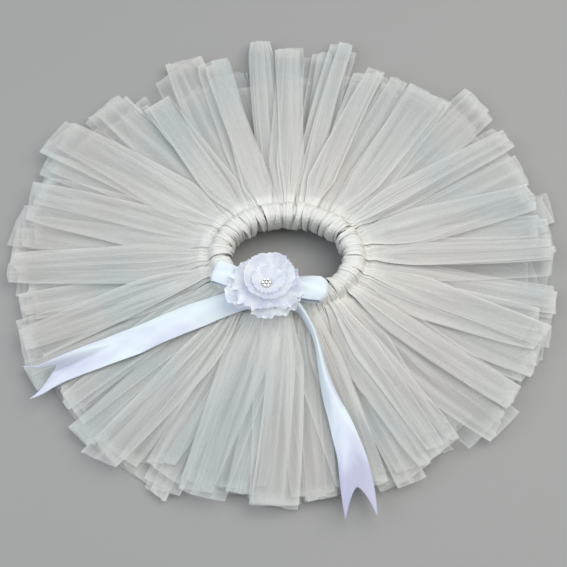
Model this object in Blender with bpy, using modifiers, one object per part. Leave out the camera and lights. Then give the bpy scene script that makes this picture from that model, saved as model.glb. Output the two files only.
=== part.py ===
"""A child's tutu skirt laid open on a table: strips of tulle on a waist elastic, a satin bow and a flower.

Run with: blender --background --python part.py
Metres, +Z up. The table is z = 0, the front of the skirt faces -Y, and the origin is the middle of its
footprint.

The skirt is laid out in waist coordinates. A place has a bearing round the waist, counted from +X towards +Y,
and a distance out from the elastic's middle line, which is negative inside the waist opening.
"""

import math
from collections import namedtuple

import bmesh
import bpy
from mathutils import Vector

MM = 0.001

# Waist elastic
WAIST_HALF_WIDTH = 70 * MM
WAIST_HALF_DEPTH = 50 * MM
ELASTIC_LOW = 26 * MM
ELASTIC_HIGH = 46 * MM
ELASTIC_THICKNESS = 1.6 * MM
ELASTIC_SIDES = 48

# Tulle strips: each is looped once over the elastic and has an upper and a lower tail
Strip = namedtuple("Strip", "upper_bearing upper_spread upper_reach lower_bearing lower_spread lower_reach")
STRIPS = (
    Strip(3, 7, 217, -3, 13, 212),
    Strip(9, 8, 216, 15, 9, 229),
    Strip(20, 9, 212, 22, 13, 205),
    Strip(28, 9, 219, 27, 14, 214),
    Strip(35, 8, 225, 35, 12, 212),
    Strip(45, 10, 239, 46, 13, 215),
    Strip(55, 10, 209, 54, 13, 202),
    Strip(64, 7, 208, 67, 11, 213),
    Strip(70, 7, 206, 73, 12, 200),
    Strip(78, 5, 236, 82, 8, 224),
    Strip(90, 8, 218, 89, 12, 196),
    Strip(96, 4, 233, 100, 10, 181),
    Strip(107, 5, 213, 105, 9, 202),
    Strip(114, 10, 231, 115, 12, 195),
    Strip(124, 8, 188, 126, 13, 177),
    Strip(134, 9, 225, 131, 9, 208),
    Strip(147, 8, 237, 143, 12, 216),
    Strip(154, 9, 229, 154, 13, 226),
    Strip(163, 8, 224, 162, 13, 218),
    Strip(170, 8, 231, 172, 13, 226),
    Strip(180, 8, 227, 181, 13, 220),
    Strip(189, 8, 216, 190, 13, 212),
    Strip(198, 10, 227, 199, 13, 222),
    Strip(206, 7, 229, 208, 12, 208),
    Strip(217, 9, 214, 217, 13, 213),
    Strip(224, 6, 225, 226, 13, 222),
    Strip(232, 11, 235, 235, 12, 221),
    Strip(242, 8, 231, 245, 9, 231),
    Strip(252, 9, 218, 253, 13, 210),
    Strip(260, 6, 205, 262, 13, 202),
    Strip(267, 9, 216, 268, 12, 214),
    Strip(277, 8, 210, 279, 13, 207),
    Strip(287, 9, 211, 288, 14, 211),
    Strip(297, 9, 217, 297, 13, 212),
    Strip(305, 8, 207, 306, 12, 205),
    Strip(318, 10, 225, 313, 7, 193),
    Strip(327, 7, 215, 326, 10, 214),
    Strip(335, 8, 216, 334, 12, 212),
    Strip(343, 8, 220, 342, 12, 218),
    Strip(351, 7, 218, 350, 12, 217),
)
PITCH = 360 / len(STRIPS)

# Tails, by distance out from the elastic. Neighbouring strips lie on separate levels, so that their tails can
# overlap: floor and raised are the undersides of the lower tails, under and top those of the upper tails.
# share is a tail's width in pitches. A tail's tip has the width and reach of its row above.
Run = namedtuple("Run", "out floor raised under top wall pleat share")
RUNS = (
    Run(14, 15.0, 22.0, 33.0, 40.0, 6.0, 0.0, 0.92),
    Run(32, 7.0, 13.0, 27.0, 35.0, 3.0, 1.5, 1.20),
    Run(85, 0.0, 5.0, 21.0, 28.0, 2.0, 2.4, 1.72),
    Run(250, 0.0, 5.0, 9.5, 15.0, 1.4, 2.4, 1.00),
)
PLEAT_ACROSS = (0.0, 0.2, 0.4, 0.6, 0.8, 1.0)
PLEAT_RISE = (0.0, 0.0, 1.0, 0.0, 0.0, 1.0)

# The loop over the elastic, from below to above: its inner and its outer side, as distance out and height
Loop = namedtuple("Loop", "inner_out inner_high outer_out outer_high")
LOOPS = (
    Loop(1.3, 25.5, 3.0, 17.5),
    Loop(-1.3, 25.5, -9.5, 20.5),
    Loop(-1.3, 36.0, -12.5, 35.0),
    Loop(-1.3, 46.5, -9.0, 49.5),
    Loop(1.3, 46.5, 3.0, 53.5),
)
LOOP_SHARE = 0.92
LOBE = (0.55, 0.88, 1.0, 1.0, 0.88, 0.55)

# What the ribbon lies on: the collar's outline over the loops, as distance out and height
Rest = namedtuple("Rest", "out high")
COLLAR_RESTS = (Rest(-12.5, 36.0), Rest(-9.0, 49.5), Rest(-3.0, 53.5), Rest(7.0, 53.0), Rest(14.0, 46.0))

# Satin ribbon and bow. A bow's reach is the end of its loop, and its width is the loop's there.
RIBBON_WALL = 1.0 * MM
RIBBON_WIDTH = 38 * MM
RIBBON_CLEARANCE = 0.5 * MM
RIBBON_NOTCH = 31 * MM
RIBBON_ACROSS = 6
RIBBON_ALONG = 16
KNOT_X = -20 * MM
KNOT_Y = -43 * MM
KNOT_LENGTH = 13 * MM
KNOT_DEPTH = 22 * MM
KNOT_LOW = 53.8 * MM
KNOT_HIGH = 63.2 * MM
BOW_SEAM = 0.4 * MM
Bow = namedtuple("Bow", "name reach_x reach_y width")
BOWS = (
    Bow("bow_loop_left", -76, -26, 27),
    Bow("bow_loop_right", 41, -47, 27),
)
BOW_LOW = 56.0 * MM
BOW_PINCH = 4.2 * MM
BOW_PUFF = 7.6 * MM
BOW_STEPS = 7
BOW_STRAIGHT = 0.92
KNOT_SQUEEZE = 0.9

# Ribbon tails, from the knot: places on the middle line, how far the ribbon opens there as a share of its
# width, and how high the crease along its middle stands
Place = namedtuple("Place", "x y opened crease")
LEFT_TAIL = (
    Place(-30, -52, 0.42, 0.0),
    Place(-59, -56, 0.60, 0.8),
    Place(-94, -67, 0.72, 3.0),
    Place(-125, -79, 0.76, 3.5),
    Place(-156, -93, 0.76, 3.5),
    Place(-187, -105, 0.60, 3.5),
    Place(-217, -117, 0.60, 3.0),
    Place(-262, -133, 0.90, 2.0),
)
RIGHT_TAIL = (
    Place(-9, -55, 0.30, 0.0),
    Place(10, -63, 0.24, 2.0),
    Place(25, -84, 0.22, 7.0),
    Place(33, -109, 0.24, 9.0),
    Place(43, -149, 0.46, 7.0),
    Place(55, -182, 0.66, 4.0),
    Place(66, -217, 0.86, 2.0),
    Place(74, -280, 0.80, 1.0),
)

# Chiffon flower, bottom layer first. A layer is flat out to PETAL_FLAT of its radius and curls up from there.
# x and y are how far its rim lies off the jewel, back is how much shorter it is behind, and droop is how far
# its front edge hangs down.
FLOWER_X = -21 * MM
FLOWER_Y = -44 * MM
FLOWER_BASE = 63.6 * MM
PETAL_WALL = 0.9 * MM
PETAL_STEP = 1.35 * MM
PETAL_SIDES = 24
PETAL_FLAT = 0.26
PETAL_RINGS = (PETAL_FLAT, 0.6, 1.0)
Petals = namedtuple("Petals", "name x y radius back lobes notch cup wave waves turn droop")
PETALS = (
    Petals("petals_outer", 0, 0, 42, 0.24, 6, 0.10, 3.0, 1.6, 6, 10, 8.0),
    Petals("petals_second", 0, 0, 38, 0.20, 6, 0.10, 5.0, 1.8, 6, 25, 6.0),
    Petals("petals_cup", 4, 5, 29, 0.0, 5, 0.05, 9.5, 1.2, 5, 40, 0.0),
    Petals("petals_heart", 3, 3, 21, 0.0, 5, 0.05, 8.5, 1.2, 5, 70, 0.0),
)

# Jewel in the flower's middle
SETTING_RADIUS = 5.2 * MM
SETTING_HEIGHT = 1.4 * MM
SETTING_TAPER = 0.92
STONE_RADIUS = 1.5 * MM
STONE_TAPER = 0.6
STONE_HEIGHT = 1.5 * MM
STONE_RING = 3.5 * MM
STONE_COUNT = 6
STONE_GAP = 0.3 * MM


def material(name, colour, roughness, metallic=0.0, alpha=1.0):
    made = bpy.data.materials.new(name)
    made.use_nodes = True
    shader = made.node_tree.nodes["Principled BSDF"]
    shader.inputs["Base Color"].default_value = (*colour, 1.0)
    shader.inputs["Roughness"].default_value = roughness
    shader.inputs["Metallic"].default_value = metallic
    shader.inputs["Alpha"].default_value = alpha
    return made


def between(value, low, high, at_low, at_high):
    """at_low where value is low, at_high where it is high, and straight in between."""
    share = min(1.0, max(0.0, (value - low) / (high - low)))
    return at_low + (at_high - at_low) * share


def waist_place(bearing, out):
    """The X and Y of a place in waist coordinates. bearing is in degrees and out in metres."""
    turn = math.radians(bearing)
    return (WAIST_HALF_WIDTH + out) * math.cos(turn), (WAIST_HALF_DEPTH + out) * math.sin(turn)


def distance_out(x, y):
    """How far a place lies out from the elastic's middle line, in metres."""
    low, high = -WAIST_HALF_DEPTH, 0.6
    for _ in range(40):
        middle = (low + high) / 2
        inside = (x / (WAIST_HALF_WIDTH + middle)) ** 2 + (y / (WAIST_HALF_DEPTH + middle)) ** 2 < 1
        low, high = (low, middle) if inside else (middle, high)
    return low


def along_runs(column, out_mm):
    """A column of RUNS at this distance out, in the table's own units."""
    inner = max((run for run in RUNS[:-1] if run.out <= out_mm), key=lambda run: run.out, default=RUNS[0])
    outer = RUNS[RUNS.index(inner) + 1]
    return between(out_mm, inner.out, outer.out, getattr(inner, column), getattr(outer, column))


def skirt_top(x, y):
    """The height of the tulle's or the collar's highest layer at a place, in metres."""
    out_mm = distance_out(x, y) / MM
    for inner, outer in zip(COLLAR_RESTS, COLLAR_RESTS[1:]):
        if out_mm < outer.out:
            return between(out_mm, inner.out, outer.out, inner.high, outer.high) * MM
    return (along_runs("top", out_mm) + along_runs("wall", out_mm) + along_runs("pleat", out_mm)) * MM


def mesh_object(name, points, faces, look):
    mesh = bpy.data.meshes.new(name)
    mesh.from_pydata(points, [], faces)
    mesh.materials.append(look)
    made = bpy.data.objects.new(name, mesh)
    garment.objects.link(made)
    made.parent = place
    return made


def grid_faces(rows, columns, closed=False):
    """The faces of a grid of points, row by row. closed joins each row's end to its start."""
    steps = columns if closed else columns - 1
    return [
        (
            row * columns + step,
            row * columns + (step + 1) % columns,
            (row + 1) * columns + (step + 1) % columns,
            (row + 1) * columns + step,
        )
        for row in range(rows - 1)
        for step in range(steps)
    ]


def outward(made):
    """Turns a closed mesh's faces outwards."""
    shape = bmesh.new()
    shape.from_mesh(made.data)
    bmesh.ops.recalc_face_normals(shape, faces=shape.faces)
    shape.to_mesh(made.data)
    shape.free()


def thicken(made, wall, offset=1.0):
    shell = made.modifiers.new("wall", "SOLIDIFY")
    shell.thickness = wall
    shell.offset = offset
    made.data.shade_smooth()


def elastic_band(look):
    rings = []
    for height in (ELASTIC_LOW, ELASTIC_HIGH):
        for side in range(ELASTIC_SIDES):
            x, y = waist_place(360 * side / ELASTIC_SIDES, 0.0)
            rings.append((x, y, height))
    band = mesh_object("elastic_band", rings, grid_faces(2, ELASTIC_SIDES, closed=True), look)
    thicken(band, ELASTIC_THICKNESS, offset=0.0)


def across_points(bearing, width, sides, mirrored):
    """One row across a strip. sides gives the distance out and height of each step across, in mm."""
    points = []
    for step, across in enumerate(PLEAT_ACROSS):
        out_mm, high_mm = sides(len(PLEAT_ACROSS) - 1 - step if mirrored else step)
        share = 1 - PLEAT_ACROSS[-1 - step] if mirrored else across
        x, y = waist_place(bearing + width * (share - 0.5), out_mm * MM)
        points.append((x, y, high_mm * MM))
    return points


def tail_sections(level, tip_bearing, tip_spread, reach, root, mirrored, is_upper):
    """A tail's sections from the collar to the tip, each as its inner row and its outer row of points."""
    sections = []
    for run in (*RUNS[:-1], None):
        out = reach if run is None else run.out
        low, wall, pleat = (along_runs(column, out) for column in (level, "wall", "pleat"))
        width = tip_spread if run is None else run.share * PITCH
        bearing = root + (tip_bearing - root) * between(out, RUNS[0].out, reach, 0, 1)
        lobe = LOBE if run is RUNS[0] else [1.0] * len(LOBE)

        def under(step, out=out, low=low, wall=wall, pleat=pleat, lobe=lobe):
            drop = 0 if is_upper else wall * (1 - lobe[step])
            return out, low + pleat * PLEAT_RISE[step] + drop

        def over(step, out=out, low=low, wall=wall, pleat=pleat, lobe=lobe):
            drop = wall * (1 - lobe[step]) if is_upper else 0
            return out, low + pleat * PLEAT_RISE[step] + wall - drop

        rows = [across_points(bearing, width, side, mirrored) for side in (under, over)]
        sections.append(rows if is_upper else rows[::-1])
    return sections


def loop_sections(root, mirrored):
    """The sections of a strip's loop over the elastic, from below to above."""
    sections = []
    for loop in LOOPS:

        def inner(step, loop=loop):
            return loop.inner_out, loop.inner_high

        def outer(step, loop=loop):
            return (
                loop.inner_out + (loop.outer_out - loop.inner_out) * LOBE[step],
                loop.inner_high + (loop.outer_high - loop.inner_high) * LOBE[step],
            )

        sections.append([across_points(root, LOOP_SHARE * PITCH, side, mirrored) for side in (inner, outer)])
    return sections


def tulle_strip(number, strip, look):
    """One strip: lower tail, loop over the elastic and upper tail, lofted through their sections."""
    root = number * PITCH
    is_even = number % 2 == 0
    mirrored = number % 4 in (1, 2)
    lower = tail_sections(
        "floor" if is_even else "raised",
        strip.lower_bearing, strip.lower_spread, strip.lower_reach, root, mirrored, is_upper=False,
    )
    upper = tail_sections(
        "top" if is_even else "under",
        strip.upper_bearing, strip.upper_spread, strip.upper_reach, root, mirrored, is_upper=True,
    )
    sections = lower[::-1] + loop_sections(root, mirrored) + upper
    points = []
    for inner, outer in sections:
        points += inner + outer[::-1]
    ring = 2 * len(PLEAT_ACROSS)
    faces = grid_faces(len(sections), ring, closed=True)
    for first in (0, (len(sections) - 1) * ring):
        faces += [
            (first + step, first + step + 1, first + ring - 2 - step, first + ring - 1 - step)
            for step in range(len(PLEAT_ACROSS) - 1)
        ]
    made = mesh_object(f"tulle_strip_{number + 1:02d}", points, faces, look)
    outward(made)


def smooth_place(places, share):
    """The x, y, width and crease of a tail. share runs from 0 at the knot to 1 at the end."""
    span = share * (len(places) - 1)
    first = min(int(span), len(places) - 2)
    inside = span - first
    near = [places[min(max(first + step, 0), len(places) - 1)] for step in (-1, 0, 1, 2)]
    a, b, c, d = (Vector((p.x * MM, p.y * MM, p.opened * RIBBON_WIDTH, p.crease * MM)) for p in near)
    bend = (2 * a - 5 * b + 4 * c - d) * inside**2 + (3 * b - a - 3 * c + d) * inside**3
    return 0.5 * (2 * b + (c - a) * inside + bend)


def ribbon_tail(name, places, look):
    """A satin tail laid on the tulle: it follows the highest layer, and its end has a swallowtail cut."""
    length = MM * sum(math.dist(before[:2], after[:2]) for before, after in zip(places, places[1:]))
    points = []
    for row in range(RIBBON_ALONG + 1):
        for column in range(RIBBON_ACROSS + 1):
            side = 2 * column / RIBBON_ACROSS - 1
            share = row / RIBBON_ALONG * (1 - RIBBON_NOTCH / length * (1 - abs(side)))
            here = smooth_place(places, share)
            ahead = smooth_place(places, min(1.0, share + 0.01))
            behind = smooth_place(places, max(0.0, share - 0.01))
            way = (ahead - behind).to_2d().normalized()
            x = here[0] - way.y * here[2] / 2 * side
            y = here[1] + way.x * here[2] / 2 * side
            crease = here[3] * math.cos(side * math.pi / 2)
            points.append((x, y, skirt_top(x, y) + RIBBON_CLEARANCE + crease))
    made = mesh_object(name, points, grid_faces(RIBBON_ALONG + 1, RIBBON_ACROSS + 1), look)
    thicken(made, RIBBON_WALL, offset=1.0 if made.data.polygons[0].normal.z > 0 else -1.0)


def bow_loop(bow, look):
    """One loop of the bow: the ribbon goes out along the collar, turns over and comes back to the knot."""
    side = math.copysign(1.0, bow.reach_x)
    start = Vector((KNOT_X + side * (KNOT_LENGTH / 2 + BOW_SEAM), KNOT_Y))
    way = Vector((bow.reach_x * MM, bow.reach_y * MM)) - start
    reach = way.length
    way.normalize()
    square = Vector((-way.y, way.x))
    along_knot = Vector((0.0, side))
    outline = []
    for step in range(BOW_STEPS + 1):
        outline.append((step / BOW_STEPS * reach * BOW_STRAIGHT, BOW_LOW))
    for step in (1, 2, 3):
        turn = math.pi * step / 4
        out = reach * (BOW_STRAIGHT + (1 - BOW_STRAIGHT) * math.sin(turn))
        outline.append((out, BOW_LOW + BOW_PUFF / 2 * (1 - math.cos(turn))))
    for step in range(BOW_STEPS, -1, -1):
        share = step / BOW_STEPS
        swell = math.sin(share * math.pi / 2)
        outline.append((share * reach * BOW_STRAIGHT, BOW_LOW + BOW_PINCH + (BOW_PUFF - BOW_PINCH) * swell))
    points = []
    for out, high in outline:
        half = between(out, 0, reach, KNOT_DEPTH * KNOT_SQUEEZE, bow.width * MM) / 2
        across = along_knot.lerp(square, between(out, 0, reach, 0, 1)).normalized()
        for column in (-1.0, 0.0, 1.0):
            spot = start + way * out + across * (half * column)
            points.append((spot.x, spot.y, high))
    made = mesh_object(bow.name, points, grid_faces(len(outline), 3), look)
    thicken(made, RIBBON_WALL, offset=-1.0 if made.data.polygons[0].normal.z < 0 else 1.0)


def bow_knot(look):
    """The wrap of ribbon over the middle of the bow, with rounded edges."""
    bpy.ops.mesh.primitive_cube_add(size=1)
    made = bpy.context.object
    made.name = "bow_knot"
    made.data.materials.append(look)
    for point in made.data.vertices:
        point.co.x *= KNOT_LENGTH
        point.co.y *= KNOT_DEPTH
        point.co.z *= KNOT_HIGH - KNOT_LOW
    made.location = (KNOT_X, KNOT_Y, (KNOT_LOW + KNOT_HIGH) / 2)
    for holder in list(made.users_collection):
        holder.objects.unlink(made)
    garment.objects.link(made)
    made.parent = place
    edge = made.modifiers.new("rounded edges", "BEVEL")
    edge.width = 2 * MM
    edge.segments = 2


def petal_layer(layer, number, look):
    """One layer of the flower: a cut disc of chiffon with lobes, cupped and waved, whose front hangs down."""
    base = FLOWER_BASE + number * PETAL_STEP
    points = [(FLOWER_X, FLOWER_Y, base)]
    for ring in PETAL_RINGS:
        for side in range(PETAL_SIDES):
            turn = 2 * math.pi * side / PETAL_SIDES
            lobed = math.cos(layer.lobes * turn + math.radians(layer.turn))
            behind = max(0.0, math.sin(turn)) * layer.back * ring
            radius = layer.radius * MM * ring * (1 - behind - layer.notch * ring * (1 - lobed) / 2)
            wave = layer.wave * math.sin(layer.waves * turn + math.radians(layer.turn))
            front = max(0.0, -math.sin(turn)) ** 2
            curl = ((ring - PETAL_FLAT) / (1 - PETAL_FLAT)) ** 2
            rise = (layer.cup + wave - layer.droop * front) * curl * MM
            x = FLOWER_X + layer.x * MM * curl + radius * math.cos(turn)
            y = FLOWER_Y + layer.y * MM * curl + radius * math.sin(turn)
            points.append((x, y, base + rise))
    faces = [(0, 1 + side, 1 + (side + 1) % PETAL_SIDES) for side in range(PETAL_SIDES)]
    faces += [
        tuple(corner + 1 for corner in reversed(face))
        for face in grid_faces(len(PETAL_RINGS), PETAL_SIDES, closed=True)
    ]
    made = mesh_object(layer.name, points, faces, look)
    thicken(made, PETAL_WALL)


def jewel(setting_look, stone_look):
    """A round metal setting with one stone in the middle and a ring of stones round it."""
    spot = 0.0, 0.0, FLOWER_BASE + (len(PETALS) - 1) * PETAL_STEP + PETAL_WALL + STONE_GAP
    jewel_piece("jewel_setting", SETTING_RADIUS, SETTING_TAPER, SETTING_HEIGHT, 16, spot, setting_look)
    top = spot[2] + SETTING_HEIGHT + STONE_GAP
    jewel_piece("jewel_stone_middle", STONE_RADIUS, STONE_TAPER, STONE_HEIGHT, 8, (0.0, 0.0, top), stone_look)
    for stone in range(STONE_COUNT):
        turn = 2 * math.pi * stone / STONE_COUNT
        spot = STONE_RING * math.cos(turn), STONE_RING * math.sin(turn), top
        jewel_piece(f"jewel_stone_{stone + 1}", STONE_RADIUS, STONE_TAPER, STONE_HEIGHT, 8, spot, stone_look)


def jewel_piece(name, radius, taper, height, sides, spot, look):
    """A round piece that narrows upwards, standing at a spot counted from the flower's middle."""
    shape = bmesh.new()
    bmesh.ops.create_cone(
        shape, cap_ends=True, segments=sides, radius1=radius, radius2=radius * taper, depth=height
    )
    mesh = bpy.data.meshes.new(name)
    shape.to_mesh(mesh)
    shape.free()
    mesh.materials.append(look)
    made = bpy.data.objects.new(name, mesh)
    garment.objects.link(made)
    made.parent = place
    made.location = (FLOWER_X + spot[0], FLOWER_Y + spot[1], spot[2] + height / 2)


def centre_footprint():
    """Moves the garment so that the middle of its footprint is the origin."""
    bpy.context.view_layer.update()
    graph = bpy.context.evaluated_depsgraph_get()
    corners = []
    for made in garment.objects:
        shown = made.evaluated_get(graph)
        mesh = shown.to_mesh()
        corners += [shown.matrix_world @ point.co for point in mesh.vertices]
        shown.to_mesh_clear()
    for axis in (0, 1):
        values = [corner[axis] for corner in corners]
        place.location[axis] = -(min(values) + max(values)) / 2


for old in list(bpy.data.objects):
    bpy.data.objects.remove(old)

garment = bpy.data.collections.new("tutu_skirt")
bpy.context.scene.collection.children.link(garment)
place = bpy.data.objects.new("place", None)
bpy.context.scene.collection.objects.link(place)

tulle = material("tulle", (0.80, 0.81, 0.78), 0.85, alpha=0.9)
satin = material("satin", (0.88, 0.90, 0.96), 0.32)
chiffon = material("chiffon", (0.86, 0.86, 0.95), 0.7)
webbing = material("elastic webbing", (0.85, 0.85, 0.82), 0.9)
metal = material("setting metal", (0.62, 0.62, 0.62), 0.25, metallic=1.0)
crystal = material("crystal", (0.75, 0.78, 0.78), 0.08)

elastic_band(webbing)
for index, row in enumerate(STRIPS):
    tulle_strip(index, row, tulle)
bow_knot(satin)
for bow_row in BOWS:
    bow_loop(bow_row, satin)
ribbon_tail("ribbon_tail_left", LEFT_TAIL, satin)
ribbon_tail("ribbon_tail_right", RIGHT_TAIL, satin)
for index, row in enumerate(PETALS):
    petal_layer(row, index, chiffon)
jewel(metal, crystal)
centre_footprint()
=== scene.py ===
"""Dresses the tutu skirt: tulle strips, a satin bow with long tails, and a chiffon flower with its jewel."""

import math
from collections import namedtuple

import bpy
import numpy as np
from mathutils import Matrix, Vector


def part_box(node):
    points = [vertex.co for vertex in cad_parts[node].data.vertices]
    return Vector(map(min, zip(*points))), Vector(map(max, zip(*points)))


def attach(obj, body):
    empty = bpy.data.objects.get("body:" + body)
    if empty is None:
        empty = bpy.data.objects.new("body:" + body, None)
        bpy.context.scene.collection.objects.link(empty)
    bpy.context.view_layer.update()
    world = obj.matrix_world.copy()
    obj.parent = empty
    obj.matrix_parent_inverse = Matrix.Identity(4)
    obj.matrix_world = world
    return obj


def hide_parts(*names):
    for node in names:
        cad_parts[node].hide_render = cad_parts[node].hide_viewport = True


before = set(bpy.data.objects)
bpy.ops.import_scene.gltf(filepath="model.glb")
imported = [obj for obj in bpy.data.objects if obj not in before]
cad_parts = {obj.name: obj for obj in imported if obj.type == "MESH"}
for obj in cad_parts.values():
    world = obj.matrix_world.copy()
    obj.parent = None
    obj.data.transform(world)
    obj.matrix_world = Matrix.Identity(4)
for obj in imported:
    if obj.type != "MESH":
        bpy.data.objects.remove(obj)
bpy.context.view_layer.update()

MM = 0.001
ANY_PHASE = (0, 6.3)

# Waist elastic, which the whole skirt is laid out from
band_low, band_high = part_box("elastic_band")
WAIST_X = (band_low[0] + band_high[0]) / 2
WAIST_Y = (band_low[1] + band_high[1]) / 2
WAIST_HALF_WIDTH = 70 * MM
WAIST_HALF_DEPTH = 50 * MM

# Tulle strips, counted anticlockwise from the right. Each has an upper and a lower tail, given by its tip's
# bearing and spread in degrees, and its reach out from the elastic in mm
Strip = namedtuple("Strip", "upper_bearing upper_spread upper_reach lower_bearing lower_spread lower_reach")
STRIPS = (
    Strip(3, 7, 217, -3, 13, 212),
    Strip(9, 8, 216, 15, 9, 229),
    Strip(20, 9, 212, 22, 13, 205),
    Strip(28, 9, 219, 27, 14, 214),
    Strip(35, 8, 225, 35, 12, 212),
    Strip(45, 10, 239, 46, 13, 215),
    Strip(55, 10, 209, 54, 13, 202),
    Strip(64, 7, 208, 67, 11, 213),
    Strip(70, 7, 206, 73, 12, 200),
    Strip(78, 5, 236, 82, 8, 224),
    Strip(90, 8, 218, 89, 12, 196),
    Strip(96, 4, 233, 100, 10, 181),
    Strip(107, 5, 213, 105, 9, 202),
    Strip(114, 10, 231, 115, 12, 195),
    Strip(124, 8, 188, 126, 13, 177),
    Strip(134, 9, 225, 131, 9, 208),
    Strip(147, 8, 237, 143, 12, 216),
    Strip(154, 9, 229, 154, 13, 226),
    Strip(163, 8, 224, 162, 13, 218),
    Strip(170, 8, 231, 172, 13, 226),
    Strip(180, 8, 227, 181, 13, 220),
    Strip(189, 8, 216, 190, 13, 212),
    Strip(198, 10, 227, 199, 13, 222),
    Strip(206, 7, 229, 208, 12, 208),
    Strip(217, 9, 214, 217, 13, 213),
    Strip(224, 6, 225, 226, 13, 222),
    Strip(232, 11, 235, 235, 12, 221),
    Strip(242, 12, 212, 245, 9, 231),
    Strip(252, 9, 218, 253, 13, 210),
    Strip(260, 6, 205, 262, 13, 202),
    Strip(267, 9, 216, 268, 12, 214),
    Strip(277, 8, 210, 279, 13, 207),
    Strip(287, 9, 211, 288, 14, 211),
    Strip(297, 9, 217, 297, 13, 212),
    Strip(305, 8, 207, 306, 12, 205),
    Strip(318, 10, 225, 313, 7, 193),
    Strip(327, 7, 215, 326, 10, 214),
    Strip(335, 8, 216, 334, 12, 212),
    Strip(343, 8, 220, 342, 12, 218),
    Strip(351, 7, 218, 350, 12, 217),
)
PITCH = 360 / len(STRIPS)

# Tails by distance out from the elastic, in mm: the undersides of the four levels, how thick a tail's folded
# layers are together, how far its soft waves rise, and its width as a share of the pitch
Run = namedtuple("Run", "out floor raised under top stack wave share")
RUNS = (
    Run(14, 15.5, 22.5, 34.0, 37.0, 3.6, 0.0, 1.12),
    Run(22, 12.0, 18.5, 34.4, 38.4, 3.4, 0.2, 1.22),
    Run(32, 7.2, 13.2, 30.6, 34.6, 3.0, 0.6, 1.40),
    Run(52, 4.5, 10.0, 27.4, 31.6, 2.6, 1.0, 1.84),
    Run(85, 0.4, 5.2, 21.2, 28.0, 2.4, 1.6, 2.10),
    Run(250, 0.4, 5.0, 9.5, 15.0, 2.2, 1.4, 1.20),
)

# A tail's key sections after its tip, by distance out in mm, and the rows from each to the next, starting at
# the tip. Its section is round at the collar and flat further out
TAIL_OUTS = (150, 85, 52, 32, 22, 14)
TAIL_STEPS = (5, 4, 4, 3, 3, 3)
ROUND_AT_COLLAR = 0.9
FLAT_FROM = 60

# The loop over the elastic, from below to above: its inner and outer side, as distance out and height in mm
Loop = namedtuple("Loop", "inner_out inner_high outer_out outer_high")
LOOPS = (
    Loop(1.3, 25.5, 3.0, 17.5),
    Loop(-1.3, 25.5, -9.5, 20.5),
    Loop(-1.3, 36.0, -12.5, 35.0),
    Loop(-1.3, 46.5, -9.0, 49.5),
    Loop(1.3, 46.5, 3.0, 53.5),
    Loop(2.6, 45.0, 10.0, 49.0),
)
LOOP_STEPS = (3,) * (len(LOOPS) + 1)
LOOP_SHARE = 1.30
LOOP_ROUNDNESS = 0.55

# How deep in a strip's stack of layers its first column lies, and how much deeper its last, as shares
FIRST_DEPTH, DEPTH_OVER = 0.06, 0.90

# Where along a strip, as shares of it, the lower tail's folds turn into the upper tail's
CROSSES_FROM, CROSSES_OVER = 0.36, 0.28

# How the loops differ from strip to strip: turned in degrees, swollen in mm and widened as a share. Only the
# parts past these distances and heights in mm swell
LOOP_TURNS = (-0.8, 0.8)
LOOP_SWELLS = (-1.8, 1.4)
LOOP_WIDTHS = (0.95, 1.2)
SWELLS_PAST_OUT = 4
SWELLS_PAST_HIGH = 40

# Tulle: a strip's flat width in mm, the columns that it is drawn with, and the lowest that it may lie in mm
TULLE_WIDTH = 150.0
TULLE_COLUMNS = 104
TULLE_LOWEST = 0.3
STRIP_SEED = 41

# Large folds: how far a panel between two of them spans, as a share of the tail, how far the folds stray from
# that, how many panels there may be, and how far the cut end slants from fold to fold as a share of a panel.
# All folds stray on the cloth by a share of their panel, and are softened over three columns
PANEL_SPAN = 0.90
PANEL_STRAY = 0.55
FEWEST_PANELS, MOST_PANELS = 2, 6
END_SLANT = 0.24
FOLD_STRAY = 0.3
SOFTENED = (0.25, 0.5, 0.25)

# Pleats and creases in mm, by how far towards the tip: at the collar, near it and at the tip. Each pleat is
# a share of that between the two given. Middle pleats reach no further than a share of the tail's half width.
# Cycles are counted across a tail. Edges droop between the collar and the tip, and less on the raised levels
TO_TIP = (0, 0.3, 1)
MIDDLE_PLEATS = 17
MIDDLE_PLEAT_SIZES = (3.2, 5.6, 3.0)
MIDDLE_PLEAT_MOST = 0.66
MIDDLE_PLEAT_SHARES = (0.5, 1.2)
SMALL_PLEATS = 29
SMALL_PLEAT_SIZES = (1.1, 1.0, 0.4)
SMALL_PLEAT_RISE = 0.3
SMALL_PLEAT_SHARES = (0.5, 1.0)
CREASE_SIZES = (0.25, 0.4, 1.2)
CREASE_CYCLES = (2.2, 3.7, 5.3)
WAVE_CYCLES = (0.7, 1.3)
EDGE_DROOP = 3.2
RAISED_DROOP_SHARE = 0.3

# How much of what lies behind it a single layer of net covers, how much sheerer it is at the tip, how many
# layers count for the cover, evened out over a few columns, how strong fold lines show where the cloth turns
# by so many mm, and how much of the gathered net's painted light and crumple reaches out from the collar
SINGLE_COVER = 0.195
TIP_SHEERER = 0.25
MOST_LAYERS_AT_TIP = 2.4
MORE_LAYERS_AT_COLLAR = 3
LOOP_LAYERS = 4
SMOOTHED_COLUMNS = 6
LEAST_SPACING = 0.1 * MM
FOLD_LINE = 0.8
FOLD_LINE_TURN = 1.5
GATHER_SHARE = 0.6

# What the ribbon lies on, as distance out from the elastic and height in mm
Rest = namedtuple("Rest", "out high")
RESTS = (
    Rest(-12.5, 36.0),
    Rest(-9.0, 49.5),
    Rest(-3.0, 53.5),
    Rest(7.0, 53.0),
    Rest(14.0, 46.0),
    Rest(32.0, 39.5),
    Rest(85.0, 32.4),
    Rest(250.0, 18.8),
)
NEAREST_OUT, FURTHEST_OUT = -40.0, 400.0
HALVINGS = 30

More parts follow.
